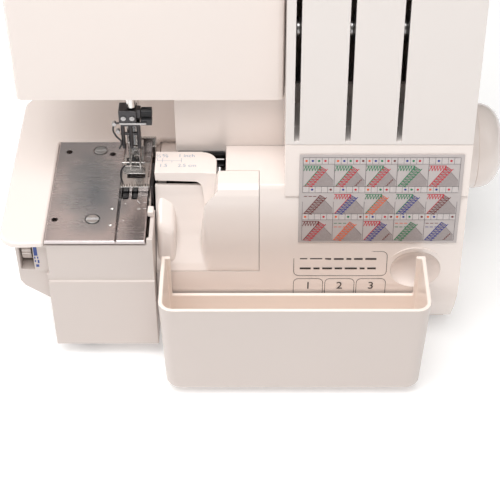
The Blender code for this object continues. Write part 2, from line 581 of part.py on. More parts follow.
def needle_gear():
    """Needle bar, clamp and two needles; presser bar with its foot, lifter and width finger."""
    spot = (GEAR_X, NEEDLE_Y)
    add("needle_bar", rod("Z", spot, BAR_R, CLAMP_Z + CLAMP_H + GAP, 232.0), CHROME)
    clamp = add("needle_clamp", block((GEAR_X - 7.5, NEEDLE_Y - 5, CLAMP_Z), (GEAR_X + 7.5, NEEDLE_Y + 5,
                                      CLAMP_Z + CLAMP_H), 1.2), CHROME)
    fuse(clamp, rod("X", (NEEDLE_Y, CLAMP_Z + 4), 2.0, GEAR_X + 6, GEAR_X + 12, 12))
    for side, sign in (("left", -1), ("right", 1)):
        x = GEAR_X + sign * NEEDLE_OFFSET
        profile = [(NEEDLE_TIP_Z, 0), (NEEDLE_TIP_Z + 5, NEEDLE_R),
                   (CLAMP_Z - 12, NEEDLE_R), (CLAMP_Z - 11, 1.0),
                   (CLAMP_Z - GAP, 1.0), (CLAMP_Z - GAP, 0)]
        add(f"needle_{side}", turned(profile, "Z", (x, NEEDLE_Y), 10), CHROME)

    sole = BED_TOP + GAP
    foot = add("presser_foot", block((PLATE_SEAM + 0.1, -37.5, sole), (PLATE_RIGHT + 0.4, PRESSER_Y + 4,
                                     sole + FOOT_SOLE_T), 0.8, "Y", 1), CHROME)
    fuse(foot, block((GEAR_X - 4, PRESSER_Y - 3.5, sole + 2),
                     (GEAR_X + 4, PRESSER_Y + 3.5, FOOT_TOP), 0.8, "Z", 1))
    cut(foot, block((GEAR_X - 4.6, NEEDLE_Y - 2, 80), (GEAR_X + 4.6, NEEDLE_Y + 2, 120)))
    cut(foot, block((GEAR_X - 6, -35.5, 80), (GEAR_X + 3, -32.5, 120)))
    add("presser_bar", rod("Z", (GEAR_X, PRESSER_Y), BAR_R, FOOT_TOP + GAP, 228.0), CHROME)

    z = LIFTER_Z
    lever = [(CASE_BACK - 12, z - 3), (CASE_BACK + 16, z - 9),
             (CASE_BACK + 18, z - 5), (CASE_BACK - 11, z + 4)]
    add("presser_lifter", prism(lever, "X", GEAR_X - 3, GEAR_X + 3), CREAM, (GEAR_X, CASE_BACK - 8, z))
    finger = [(BED_RIGHT - 0.4, -57.0), (BED_RIGHT - 0.4, -60.5), (PLATE_RIGHT + 0.4, -60.5),
              (PLATE_RIGHT + 0.4, -54.5), (BED_RIGHT - 0.4, -54.5)]
    add("width_finger_lever", prism(finger, "Z", BED_TOP + GAP, BED_TOP + 4.0), CREAM)


def knives_and_loopers():
    """Fixed lower knife, moving upper knife, two loopers, feed dog and their inner bracket."""
    x = PLATE_RIGHT + 0.4
    add("lower_knife", block((x, -50.0, 76.0), (x + 1.3, -30.0, BED_TOP - 0.2)), CHROME)
    knife = add("upper_knife", block((x + 1.6, -49.0, BED_TOP + 0.8),
                                     (x + 2.9, -33.0, BED_TOP + 14)), CHROME)
    fuse(knife, block((x + 1.6, -34.0, 78.0), (x + 3.8, -27.0, BED_TOP + 14)))

    base = SLOT_FRONT + FEED_PLAY_Y, SLOT_BACK - FEED_PLAY_Y
    low, high = FEED_SLOTS[0][0] + FEED_PLAY_X, FEED_SLOTS[1][1] - FEED_PLAY_X
    feed = add("feed_dog", block((low, base[0], 84.0), (high, base[1], 90.0)), CHROME)
    for x0, x1 in FEED_SLOTS:
        fuse(feed, block((x0 + FEED_PLAY_X, base[0], 88.0), (x1 - FEED_PLAY_X, base[1], BED_TOP - 0.4)))

    bracket = add("looper_bracket", block((-50.0, -27.0, COVER_SEAM_Z + GAP), (-3.0, -23.0, 97.0)), DARK)
    cut(bracket, rod("Y", (-40.0, 70.0), 4.6, -40, 0, 16), rod("Y", (-22.0, 76.0), 4.6, -40, 0, 16))
    arms = {"lower_looper": ((-40.0, 70.0), -33.0,
                             [(-44, 66), (-36, 66), (-40, 78), (-60, 88), (-61, 85), (-47, 76)]),
            "upper_looper": ((-22.0, 76.0), -38.5, [(-26, 72), (-18, 72), (-19, 84), (-32, 98), (-56, 104),
                                                    (-56, 101), (-35, 94), (-26, 84)])}
    for name, (pivot, y, outline) in arms.items():
        looper = add(name, prism(outline, "Y", y, y + 3.0), CHROME, (pivot[0], y, pivot[1]))
        fuse(looper, rod("Y", pivot, 4.0, y + 1, -24.0, 16))


def drive():
    """Main shaft with handwheel and pulley, motor with its pulley, belt, bushes and cast frame."""
    shaft = (SHAFT_Y, SHAFT_Z)
    motor = (MOTOR_Y, MOTOR_Z)
    frame = add("cast_frame", block((-48, -15, CASE_BOTTOM + GAP), (112, 54, CASE_BOTTOM + 4)), CAST)
    uprights = {"left": (-40.0, -34.0), "right": (86.0, 92.0)}
    for x0, x1 in uprights.values():
        fuse(frame, block((x0, 6, CASE_BOTTOM + 2), (x1, 48, SHAFT_Z + 14), 5.0, "X"))
    cut(frame, rod("X", shaft, BUSH_R + GAP, -60, 96), rod("X", motor, MOTOR_R + 1.0, -30, 84),
        rod("X", motor, MOTOR_SHAFT_R + 1.0, 80, 96))
    for side, (x0, x1) in uprights.items():
        add(f"shaft_bush_{side}", pipe("X", shaft, BUSH_R, SHAFT_R + GAP, x0 - 0.5, x1 + 0.5), CAST)
    add("main_shaft", rod("X", shaft, SHAFT_R, SHAFT_END, CASE_RIGHT + 4), CHROME)
    add("shaft_pulley", pipe("X", shaft, SHAFT_PULLEY_R, SHAFT_R + GAP, *PULLEY_X), BLACK)
    x = CASE_RIGHT
    out = x + WHEEL_OUT
    wheel = [(x - 6, SHAFT_R + GAP), (x - 6, HUB_R),
             (x + 1.5, HUB_R), (x + 2.5, WHEEL_R - 3), (x + 5, WHEEL_R),
             (out - 13, WHEEL_R), (out - 7, WHEEL_R - 3), (out - 2.5, WHEEL_R - 8), (out, WHEEL_R - 15),
             (out, 0), (x + 4 + GAP, 0), (x + 4 + GAP, SHAFT_R + GAP)]
    add("handwheel", turned(wheel, "X", shaft, 32), WHITE, (x, *shaft))
    body = add("motor", rod("X", motor, MOTOR_R, 22, 82), CAST)
    cut(body, rod("X", motor, MOTOR_SHAFT_R + GAP, 70, 90))
    rotor = add("motor_pulley", pipe("X", motor, MOTOR_PULLEY_R, 0.8,
                                     *PULLEY_X), BLACK, (PULLEY_X[0], *motor))
    fuse(rotor, rod("X", motor, MOTOR_SHAFT_R, 72, PULLEY_X[1]))

    dy, dz = SHAFT_Y - MOTOR_Y, SHAFT_Z - MOTOR_Z
    span = math.hypot(dy, dz)
    base = math.atan2(dz, dy)

    def loop(extra):
        """Outline round both pulleys, standing off by the given amount."""
        big, small = SHAFT_PULLEY_R + extra, MOTOR_PULLEY_R + extra
        lean = math.acos((small - big) / span)
        points = []
        for k in range(13):
            a = base - lean + 2 * lean * k / 12
            points.append((SHAFT_Y + big * math.cos(a), SHAFT_Z + big * math.sin(a)))
        for k in range(9):
            a = base + lean + (2 * math.pi - 2 * lean) * k / 8
            points.append((MOTOR_Y + small * math.cos(a), MOTOR_Z + small * math.sin(a)))
        return points

    x0, x1 = PULLEY_X[0] + 2, PULLEY_X[1] - 2
    inner, outer = loop(GAP + 0.3), loop(GAP + 0.3 + BELT_T)
    rings = [[(x0, *p) for p in inner], [(x0, *p) for p in outer], [(x1, *p) for p in outer],
             [(x1, *p) for p in inner]]
    belt = bmesh.new()
    verts = [[belt.verts.new(p) for p in ring] for ring in rings]
    for one, two in zip(verts, verts[1:] + verts[:1]):
        for i in range(len(one)):
            j = (i + 1) % len(one)
            belt.faces.new((one[i], one[j], two[j], two[i]))
    bmesh.ops.recalc_face_normals(belt, faces=belt.faces)
    add("drive_belt", belt, RUBBER)


def spool_stand():
    """Rear shelf with four spool holders and the telescopic thread mast."""
    outline = rounded_corners([(-STAND_HALF, CASE_BACK + GAP, 3), (STAND_HALF, CASE_BACK + GAP, 3),
                               (STAND_HALF, BACK, 18), (-STAND_HALF, BACK, 18)])
    add("spool_stand", prism(outline, "Z", STAND_Z, STAND_Z + STAND_T), CREAM)
    top = STAND_Z + STAND_T + GAP
    for k, x in enumerate(SPOOL_X):
        profile = [(top, 0), (top, 17), (top + 2.5, 17), (top + 2.5, 9.5), (top + 20, 5.5), (top + 21, 3),
                   (top + 62, 2.6), (top + 64, 0)]
        add(f"spool_holder_{k + 1}", turned(profile, "Z", (x, SPOOL_Y), 16), CREAM)
    mast = (0.0, POLE_Y)
    add("mast_tube", pipe("Z", mast, POLE_R, POLE_BORE, top, POLE_TOP, 16), CHROME)
    add("mast_rod", rod("Z", mast, ROD_R, top + 10, TREE_Z, 16), CHROME)
    tree = rounded_corners([(-76, POLE_Y - 3, 2), (76, POLE_Y - 3, 2),
                            (76, POLE_Y + 3, 2), (-76, POLE_Y + 3, 2)], 2)
    bar = add("thread_tree", prism(tree, "Z", TREE_Z + GAP, TREE_Z + 4.0), CREAM)
    for x in SPOOL_X:
        fuse(bar, rod("Z", (x, POLE_Y), 5.5, TREE_Z + 0.6, TREE_Z + 3.6, 16))
        cut(bar, rod("Z", (x, POLE_Y), 1.8, TREE_Z - 5, TREE_Z + 9, 12))


base_and_feet()
bed()
stitch_length_dial()
front_casing()
looper_cover()
waste_tray()
rear_casing()
side_fittings()
head_covers()
needle_gear()
knives_and_loopers()
drive()
spool_stand()
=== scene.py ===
import json
import math

import bmesh
import bpy
from mathutils import Matrix, Vector

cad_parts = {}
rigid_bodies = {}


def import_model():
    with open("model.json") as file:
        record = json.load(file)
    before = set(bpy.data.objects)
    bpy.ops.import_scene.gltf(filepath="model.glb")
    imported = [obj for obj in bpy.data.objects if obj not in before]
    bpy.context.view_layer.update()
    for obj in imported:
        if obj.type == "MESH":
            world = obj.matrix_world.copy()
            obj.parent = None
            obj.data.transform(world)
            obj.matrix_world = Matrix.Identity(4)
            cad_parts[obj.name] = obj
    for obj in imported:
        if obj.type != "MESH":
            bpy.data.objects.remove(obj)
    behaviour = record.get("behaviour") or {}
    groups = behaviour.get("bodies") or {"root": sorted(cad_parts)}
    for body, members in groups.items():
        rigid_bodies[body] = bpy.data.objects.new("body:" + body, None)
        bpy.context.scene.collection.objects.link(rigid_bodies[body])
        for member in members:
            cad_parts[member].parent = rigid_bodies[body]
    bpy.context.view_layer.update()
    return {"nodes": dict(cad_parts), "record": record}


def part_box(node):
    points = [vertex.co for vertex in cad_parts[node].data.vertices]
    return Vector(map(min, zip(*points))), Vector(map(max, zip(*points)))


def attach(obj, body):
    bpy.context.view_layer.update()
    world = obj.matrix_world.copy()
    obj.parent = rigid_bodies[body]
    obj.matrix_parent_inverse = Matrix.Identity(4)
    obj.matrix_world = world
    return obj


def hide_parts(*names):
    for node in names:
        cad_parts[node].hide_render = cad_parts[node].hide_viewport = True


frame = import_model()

mm = 0.001


# Studio: a white table top that runs on into the distance under an even pale surround, with one
# large soft box overhead at the left, a smaller one to the right for the highlights, and a weak
# fill low at the left that opens the shade under the arm.
class Finish:
    """A node material. Sockets come back wrapped, so sums and products read as plain maths."""

    def __init__(self, name, base, roughness, metallic=0.0, **shader):
        self.material = bpy.data.materials.new(name)
        self.material.use_nodes = True
        self.tree = self.material.node_tree
        self.shader = self.tree.nodes["Principled BSDF"]
        self.wear(Base_Color=base, Roughness=roughness, Metallic=metallic, **shader)

    def wear(self, **inputs):
        self.set(self.shader, {key.replace("_", " "): value for key, value in inputs.items()})

    def set(self, node, inputs):
        for key, value in inputs.items():
            socket = node.inputs[key]
            if isinstance(value, Wire):
                self.tree.links.new(value.socket, socket)
            elif isinstance(value, tuple) and socket.type == "RGBA":
                socket.default_value = (*value, 1.0)
            else:
                socket.default_value = value

    def node(self, kind, inputs=None, out=0, ramp=None, **settings):
        node = self.tree.nodes.new("ShaderNode" + kind)
        for key, value in settings.items():
            setattr(node, key, value)
        if ramp:
            points = node.color_ramp.elements
            while len(points) < len(ramp):
                points.new(0.5)
            for point, (place, colour) in zip(points, ramp):
                point.position = place
                point.color = (*colour, 1.0)
        self.set(node, inputs or {})
        return Wire(self, node.outputs[out])

    def place(self, scale=(1, 1, 1), shift=(0, 0, 0)):
        """Object coordinates in metres, scaled and shifted."""
        here = self.node("TexCoord", out="Object")
        return self.node("Mapping", {"Vector": here, "Scale": scale, "Location": shift})

    def noise(self, size, detail=2.0, where=None):
        """Soft noise from 0 to 1 whose blotches are about size metres across."""
        where = where or self.place()
        return self.node("TexNoise", {"Vector": where, "Scale": 1.0 / size, "Detail": detail})

    def mix(self, share, one, two):
        return self.node("Mix", {0: share, 6: one, 7: two}, 2, data_type="RGBA")

    def bump(self, height, depth, strength=1.0):
        self.wear(Normal=self.node("Bump", {"Height": height, "Distance": depth, "Strength": strength}))


class Wire:
    """One output socket with the arithmetic that the finishes use."""

    def __init__(self, finish, socket):
        self.finish, self.socket = finish, socket

    def maths(self, operation, *values):
        return self.finish.node("Math", dict(enumerate(values)), operation=operation)

    def __add__(self, other):
        return self.maths("ADD", self, other)

    def __radd__(self, other):
        return self.maths("ADD", other, self)

    def __sub__(self, other):
        return self.maths("SUBTRACT", self, other)

    def __mul__(self, other):
        return self.maths("MULTIPLY", self, other)


def soft_box(name, size, place, aim, watts):
    """A rectangular area lamp at a place, turned to the point it lights."""
    lamp = bpy.data.lights.new(name, "AREA")
    lamp.shape = "RECTANGLE"
    lamp.size, lamp.size_y = size
    lamp.energy = watts
    holder = bpy.data.objects.new(name, lamp)
    holder.location = place
    holder.rotation_euler = (Vector(aim) - Vector(place)).to_track_quat("-Z", "Y").to_euler()
    bpy.context.scene.collection.objects.link(holder)


soft_box("overhead_box", (1.1, 0.8), (-0.2, -0.42, 1.15), (-0.03, -0.05, 0.08), 13.0)
soft_box("right_box", (0.4, 0.8), (0.9, -0.3, 0.9), (0.0, 0.0, 0.1), 1.0)
soft_box("left_fill", (0.3, 0.2), (-0.5, 0.1, 0.24), (-0.1, 0.03, 0.095), 0.5)

world = bpy.data.worlds.new("pale_surround")
world.use_nodes = True
surround = world.node_tree.nodes
sky_place = surround.new("ShaderNodeTexCoord")
sky_split = surround.new("ShaderNodeSeparateXYZ")
sky_ramp = surround.new("ShaderNodeValToRGB")
sky_ramp.color_ramp.elements[0].color = (0.1, 0.095, 0.09, 1.0)
sky_ramp.color_ramp.elements[1].color = (0.5, 0.49, 0.475, 1.0)
world.node_tree.links.new(sky_place.outputs["Generated"], sky_split.inputs[0])
world.node_tree.links.new(sky_split.outputs["Z"], sky_ramp.inputs[0])
world.node_tree.links.new(sky_ramp.outputs[0], surround["Background"].inputs["Color"])
bpy.context.scene.world = world
bpy.context.scene.view_settings.view_transform = "Standard"

table_bm = bmesh.new()
bmesh.ops.create_grid(table_bm, x_segments=8, y_segments=8, size=6.0)
table_mesh = bpy.data.meshes.new("table_top")
table_bm.to_mesh(table_mesh)
table_bm.free()
table_top = bpy.data.objects.new("table_top", table_mesh)
table_finish = Finish("white_table", (0.86, 0.86, 0.86), 0.6, Emission_Color=(1.0, 1.0, 1.0))
table_finish.wear(Roughness=0.5 + table_finish.noise(0.25) * 0.15, Emission_Strength=0.3)
table_mesh.materials.append(table_finish.material)
bpy.context.scene.collection.objects.link(table_top)

eye = bpy.data.cameras.new("camera")
eye.lens, eye.sensor_width = 100.8, 36.0
eye.shift_x = -0.01
camera = bpy.data.objects.new("camera", eye)
camera.location = (-0.0035, -0.6825, 0.6294)
camera.rotation_euler = (math.radians(48.0), 0.0, 0.0)
bpy.context.scene.collection.objects.link(camera)
bpy.context.scene.camera = camera


# Rubber feet: four soft black pads pushed into the base pan, moulded with a slight taper and
# a fine matt skin that picks up dust.
weld = 0.01 * mm


def keep_shape(node, radius, material, segments=3, merge=2.0):
    """A CAD node's own shape with its level triangles merged and its sharp edges rounded."""
    bm = bmesh.new()
    bm.from_mesh(frame["nodes"][node].data)
    bmesh.ops.remove_doubles(bm, verts=bm.verts, dist=weld)
    if merge:
        bmesh.ops.dissolve_limit(bm, angle_limit=math.radians(merge), verts=bm.verts, edges=bm.edges)
    return stand_in(node + "_shell", bm, node, material, radius, segments)


def stand_in(name, bm, node, material, radius=0.0, segments=3, angle=28.0, hide=True):
    """Makes a piece of the bmesh, rounds it, and lets it ride with its CAD node and replace it."""
    mesh = bpy.data.meshes.new(name)
    bm.to_mesh(mesh)
    bm.free()
    mesh.materials.append(material)
    piece = bpy.data.objects.new(name, mesh)
    bpy.context.scene.collection.objects.link(piece)
    mesh.shade_smooth()
    if radius:
        bevel = piece.modifiers.new("edge_radius", "BEVEL")
        bevel.width = radius
        bevel.segments = segments
        bevel.limit_method = "ANGLE"
        bevel.angle_limit = math.radians(angle)
        bevel.harden_normals = True
        bevel.miter_outer = "MITER_ARC"
        piece.modifiers.new("even_shading", "WEIGHTED_NORMAL").weight = 90
    else:
        mesh.set_sharp_from_angle(angle=math.radians(angle))
    bodies = frame["record"]["behaviour"]["bodies"]
    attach(piece, next(body for body, names in bodies.items() if node in names))
    if hide:
        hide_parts(node)
    return piece


rubber = Finish("black_rubber", (0.03, 0.03, 0.032), 0.75)
dust = rubber.noise(0.004, 4.0)
rubber.wear(Base_Color=rubber.mix(dust, (0.022, 0.022, 0.024), (0.07, 0.066, 0.062)),
            Roughness=0.66 + dust * 0.2)
rubber.bump(rubber.noise(0.0007), 0.05 * mm, 0.6)
for corner in ("front_left", "front_right", "rear_left", "rear_right"):
    keep_shape(f"rubber_foot_{corner}", 0.5 * mm, rubber.material)


# Base pan and bed casing: injection-moulded ABS in a warm off-white with a polished skin.
# The pan screws up into the casings; the bed casing steps in above its lower front.
def shade(colour, share):
    """A colour made darker or lighter by a share."""
    return tuple(min(1.0, c * share) for c in colour)


def moulded(name, base, rough, coat=0.2, peel=0.02):
    """Warm white ABS: slow clouds of tone, worn gloss and a faint orange peel."""
    finish = Finish(name, base, rough, IOR=1.48, Coat_Roughness=0.07)
    cloud = finish.noise(0.08, 3.0)
    fine = finish.noise(0.006, 4.0)
    finish.wear(Base_Color=finish.mix(cloud, shade(base, 0.985), shade(base, 1.015)),
                Roughness=rough + cloud * 0.05 + fine * 0.06, Coat_Weight=coat + cloud * 0.1)
    finish.bump(finish.noise(0.0024, 1.0), peel * mm, 0.35)
    return finish.material


# A darker copy of the casing white: painted shade on the bed casing, base pan, tray outside, brackets and
# spool stand.
satin_painted_shade_white = moulded("satin_painted_shade_white_abs", (0.68, 0.6, 0.56), 0.3, 0.1)
keep_shape("base_pan", 0.6 * mm, satin_painted_shade_white)
keep_shape("bed_casing", 0.9 * mm, satin_painted_shade_white, 4)


# Cast frame, shaft and bushes: a sand-cast aluminium frame carries the turned steel main shaft
# in two sintered bushes. None of it is painted, so it shows grain, oil and handling marks.
def bare_metal(name, base, rough, grain=0.0, grain_size=0.001, smudge=0.12):
    """Unpainted metal with patchy sheen; grain is the depth of its surface in millimetres."""
    finish = Finish(name, base, rough, 1.0)
    patch = finish.noise(0.012, 4.0)
    finish.wear(Base_Color=finish.mix(patch, shade(base, 0.86), shade(base, 1.12)),
                Roughness=rough - smudge * 0.5 + patch * smudge)
    if grain:
        finish.bump(finish.noise(grain_size, 3.0), grain * mm, 0.7)
    return finish.material


cast_grey = bare_metal("cast_aluminium", (0.36, 0.36, 0.37), 0.5, 0.12, 0.0012)
plated = bare_metal("nickel_plate", (0.72, 0.70, 0.68), 0.16, 0.01, 0.003)
dull_plated = bare_metal("dull_nickel_plate", (0.50, 0.49, 0.485), 0.3, 0.02, 0.0009)
dark_steel = bare_metal("blackened_steel", (0.085, 0.082, 0.085), 0.34, 0.03, 0.0008)
bronze = bare_metal("sintered_bronze", (0.42, 0.33, 0.2), 0.45, 0.03, 0.0005)
keep_shape("cast_frame", 0.8 * mm, cast_grey)
keep_shape("main_shaft", 0.3 * mm, plated)
for side in ("left", "right"):
    keep_shape(f"shaft_bush_{side}", 0.4 * mm, bronze)


# Drive: a small enclosed motor turns a black moulded pulley and a toothed rubber belt, which
# turns the larger pulley on the main shaft.
black_plastic = Finish("black_plastic", (0.03, 0.03, 0.034), 0.4)
scuff = black_plastic.noise(0.007, 5.0)
black_plastic.wear(Base_Color=black_plastic.mix(scuff, (0.02, 0.02, 0.023), (0.055, 0.055, 0.058)),
                   Roughness=0.3 + scuff * 0.25)
black_plastic.bump(black_plastic.noise(0.0006), 0.03 * mm, 0.5)
keep_shape("motor", 1.0 * mm, dark_steel)
keep_shape("motor_pulley", 0.3 * mm, black_plastic.material)
keep_shape("shaft_pulley", 0.3 * mm, black_plastic.material)
keep_shape("drive_belt", 0.2 * mm, rubber.material)


# Bed top cover: a bright high-gloss moulding with full soft edges that laps over the casing and
# holds the steel plates; polished harder than the casings below it.
gloss_white = moulded("gloss_white_abs", (0.89, 0.8, 0.752), 0.16, 0.45, 0.012)
keep_shape("bed_top_cover", 1.9 * mm, gloss_white, 6)


# Stitch length dial: a white thumb wheel with square ribs, beside a printed index in blue. The
# wheel is moulded in one piece and clips on a short axle.
def ribbed_wheel(centre, inner, outer, low, high, ribs):
    """A toothed disc about X: every other side face is pushed outwards."""
    flank = 0.1 * mm
    bm = bmesh.new()
    bmesh.ops.create_cone(bm, cap_ends=True, segments=ribs * 2, radius1=inner, radius2=inner,
                          depth=high - low)
    sides = sorted((f for f in bm.faces if len(f.verts) == 4),
                   key=lambda f: math.atan2(f.calc_center_median().y, f.calc_center_median().x))
    bmesh.ops.inset_individual(bm, faces=sides[::2], thickness=flank, depth=0.0)
    bmesh.ops.inset_individual(bm, faces=sides[::2], thickness=0.0, depth=outer - inner)
    bmesh.ops.rotate(bm, verts=bm.verts, matrix=Matrix.Rotation(math.pi / 2, 3, "Y"))
    bmesh.ops.translate(bm, verts=bm.verts, vec=Vector(((low + high) / 2, *centre)))
    return bm


low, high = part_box("stitch_length_dial")
dial_centre = ((low[1] + high[1]) / 2, (low[2] + high[2]) / 2)
dial = ribbed_wheel(dial_centre, 8.8 * mm, 9.4 * mm, low[0], high[0], 24)
stand_in("knurled_dial", dial, "stitch_length_dial", gloss_white, 0.15 * mm, 2)


def slab(low, high):
    """A box from its low to its high corner, as the start of a piece."""
    bm = bmesh.new()
    bmesh.ops.create_cube(bm, size=1.0)
    bmesh.ops.scale(bm, verts=bm.verts, vec=Vector(high) - Vector(low))
    bmesh.ops.translate(bm, verts=bm.verts, vec=(Vector(high) + Vector(low)) / 2)
    return bm


index_low, index_high = Vector((-133.2, -77.0, 67.2)) * mm, Vector((-124.75, -75.0, 89.6)) * mm
stand_in("dial_index_plate", slab(index_low, index_high), "bed_casing", satin_painted_shade_white, 0.4 * mm, hide=False)


def ink(name, colour, rough=0.45):
    """Pad-printed ink: slightly uneven cover over the plastic."""
    finish = Finish(name, colour, rough)
    speck = finish.noise(0.0011, 4.0)
    finish.wear(Base_Color=finish.mix(speck, shade(colour, 0.85), shade(colour, 1.15)),
                Roughness=rough - 0.08 + speck * 0.16)
    return finish.material


def stroke(bm, start, end, width, normal=(0, -1, 0)):
    """A thin printed bar between two points, on a surface that faces along normal."""
    start, end, normal = Vector(start), Vector(end), Vector(normal).normalized()
    along = (end - start).normalized()
    turn = Matrix((along, normal.cross(along), normal)).transposed().to_4x4()
    turn.translation = (start + end) / 2
    size = Matrix.Diagonal(((end - start).length + width * 0.6, width, 1.0, 1.0))
    bmesh.ops.create_grid(bm, x_segments=1, y_segments=1, size=0.5, matrix=turn @ size)


blue_ink = ink("blue_ink", (0.03, 0.07, 0.3))
marks = bmesh.new()
mark_y = index_low.y - 0.03 * mm
for x, low, high, width in ((-131.6, 80.4, 87.4, 2.2), (-132.3, 77.6, 78.8, 0.8), (-130.6, 77.6, 78.8, 0.8),
                            (-132.2, 75.0, 76.2, 0.8), (-130.4, 74.2, 76.2, 1.0), (-131.2, 71.4, 72.4, 1.8)):
    stroke(marks, (x * mm, mark_y, low * mm), (x * mm, mark_y, high * mm), width * mm)
stand_in("dial_scale_marks", marks, "bed_casing", blue_ink, hide=False)


# Cloth plate and needle plate: two ground and brushed stainless plates with a bevelled front
# edge, held by slotted countersunk screws, with rest pins, oil holes and etched cutting lines.
steel = Finish("brushed_stainless", (0.5, 0.49, 0.5), 0.25, 1.0)
brush = steel.noise(0.0006, 2.0, steel.place(scale=(0.04, 1.0, 1.0)))
stain_and_reflection_edge = steel.noise(0.022, 3.0)
# Painted reflection: the plate colour runs from dark blue round one spot to light pink further off, its edge
# wobbled by the stain noise.
painted_reflection_spot = steel.place(scale=(42.0, 25.0, 0.0), shift=(4.2, 0.95, 0.0))
painted_reflection_distance = steel.node("VectorMath", {0: painted_reflection_spot}, 1, operation="LENGTH")
painted_reflection_tone = steel.node("ValToRGB", {0: painted_reflection_distance + (stain_and_reflection_edge - 0.5) * 0.9},
                          ramp=((0.15, (0.26, 0.285, 0.31)), (0.75, (0.46, 0.455, 0.465)),
                                (1.0, (0.63, 0.57, 0.565))))
steel.wear(Base_Color=painted_reflection_tone, Roughness=0.12 + brush * 0.1 + stain_and_reflection_edge * 0.18)
steel.bump(brush, 0.002 * mm, 0.3)
keep_shape("cloth_plate", 0.3 * mm, steel.material)
keep_shape("needle_plate", 0.3 * mm, steel.material, merge=0)
for place in ("front", "rear"):
    keep_shape(f"plate_screw_{place}", 0.2 * mm, dull_plated)

plate_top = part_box("cloth_plate")[1][2]
studs = bmesh.new()
for x, y, radius in ((-87.6, -52.4, 1.25), (-87.6, -67.2, 1.1), (-80.2, -47.8, 0.6), (-80.3, -62.8, 0.5)):
    flattened = Matrix.Diagonal((radius, radius, radius * 0.5, 1.0))
    bmesh.ops.create_uvsphere(studs, u_segments=20, v_segments=10, radius=1.0 * mm,
                              matrix=Matrix.Translation((x * mm, y * mm, plate_top)) @ flattened)
stand_in("plate_studs", studs, "needle_plate", plated, hide=False)

etched = ink("etched_line", (0.62, 0.6, 0.58), 0.5)
lines = bmesh.new()
line_z = plate_top + 0.02 * mm
for x0, y0, x1, y1 in ((-73.4, -45.2, -71.6, -47.8), (-69.6, -46.8, -67.9, -47.0),
                       (-72.8, -52.2, -71.2, -52.2), (-72.8, -53.0, -71.2, -53.0),
                       (-69.4, -52.4, -67.7, -52.4)):
    stroke(lines, (x0 * mm, y0 * mm, line_z), (x1 * mm, y1 * mm, line_z), 0.35 * mm, (0, 0, 1))
stand_in("cutting_lines", lines, "needle_plate", etched, hide=False)


# Feed dog, loopers and knives: hardened and ground steel. The loopers and knife holders are
# blackened, while the feed dog's teeth and the blades are left bright.
keep_shape("feed_dog", 0.15 * mm, dark_steel, 2)
keep_shape("lower_looper", 0.5 * mm, dark_steel)
keep_shape("upper_looper", 0.5 * mm, dark_steel)
keep_shape("lower_knife", 0.1 * mm, plated, 2)
keep_shape("upper_knife", 0.2 * mm, dark_steel, 2)
keep_shape("looper_bracket", 0.4 * mm, dark_steel)
keep_shape("width_finger_lever", 0.7 * mm, gloss_white, 4)


# Looper cover: one swing-down moulding, flat at the right and scooped into a chute at the left,
# with a rounded finger rib beside the bed. Its upper edge turns back in a full radius.
flat_line = ((-68.5, 59.9), (-66.8, 74.0), (-65.2, 90.0), (-63.6, 107.0),
             (-62.6, 112.5), (-60.4, 116.3), (-57.2, 118.0), (-45.5, 118.0))
chute_line = ((-68.5, 59.9), (-66.4, 64.0), (-61.6, 70.5), (-56.4, 78.0),
              (-52.2, 86.0), (-49.2, 93.0), (-46.8, 99.8), (-45.5, 107.0))
scoop_edge = ((59.9, -30.0), (67.0, -30.2), (82.0, -32.6), (92.0, -33.0),
              (98.0, -29.5), (103.0, -25.4), (118.0, -24.6))
blend_start, blend_width = -3.4, 3.6


def along(line, share):
    """The point at a share of an open line's length, and of a list of values likewise."""
    place = share * (len(line) - 1)
    first = min(int(place), len(line) - 2)
    t = place - first
    return tuple(a + (b - a) * t for a, b in zip(line[first], line[first + 1]))


def at_height(line, z):
    """The second value of (height, value) pairs at a height."""
    for (z0, a), (z1, b) in zip(line, line[1:]):
        if z <= z1:
            break
    return a + (b - a) * min(1.0, max(0.0, (z - z0) / (z1 - z0)))


low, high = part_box("looper_cover")
cover = bmesh.new()
bmesh.ops.create_grid(cover, x_segments=72, y_segments=44, size=0.5)
for v in cover.verts:
    x = low[0] / mm + (v.co.x + 0.5) * (high[0] - low[0]) / mm
    share = v.co.y + 0.5
    flat, scoop = along(flat_line, share), along(chute_line, share)
    edge = at_height(scoop_edge, scoop[1] + (flat[1] - scoop[1]) * 0.5)
    t = min(1.0, max(0.0, (x - edge - blend_start) / blend_width))
    t = t * t * (3 - 2 * t)
    v.co = Vector((x, scoop[0] + (flat[0] - scoop[0]) * t, scoop[1] + (flat[1] - scoop[1]) * t)) * mm
bmesh.ops.recalc_face_normals(cover, faces=cover.faces)
if sum(f.normal.y for f in cover.faces) > 0:
    bmesh.ops.reverse_faces(cover, faces=cover.faces)
cover_skin = stand_in("looper_cover_skin", cover, "looper_cover", gloss_white, angle=50.0)
wall = cover_skin.modifiers.new("wall", "SOLIDIFY")
wall.thickness, wall.offset = 2.4 * mm, -1.0
edge_round = cover_skin.modifiers.new("edge_radius", "BEVEL")
edge_round.width, edge_round.segments = 0.5 * mm, 3
edge_round.limit_method, edge_round.angle_limit = "ANGLE", math.radians(60)

rib_low, rib_high = Vector((-61.4, -66.6, 63.5)) * mm, Vector((-50.4, -45.0, 102.0)) * mm
front_back, front_drop, right_drop = 5.4 * mm, 13.0 * mm, 4.5 * mm
rib = slab(rib_low, rib_high)
rib_middle = (rib_low + rib_high) / 2
for v in (v for v in rib.verts if v.co.z > rib_middle.z):
    if v.co.x > rib_middle.x:
        v.co.z -= right_drop
    if v.co.y < rib_middle.y:
        v.co += Vector((0.0, front_back, -front_drop))
stand_in("cover_rib", rib, "looper_cover", gloss_white, 3.4 * mm, 8, hide=False)


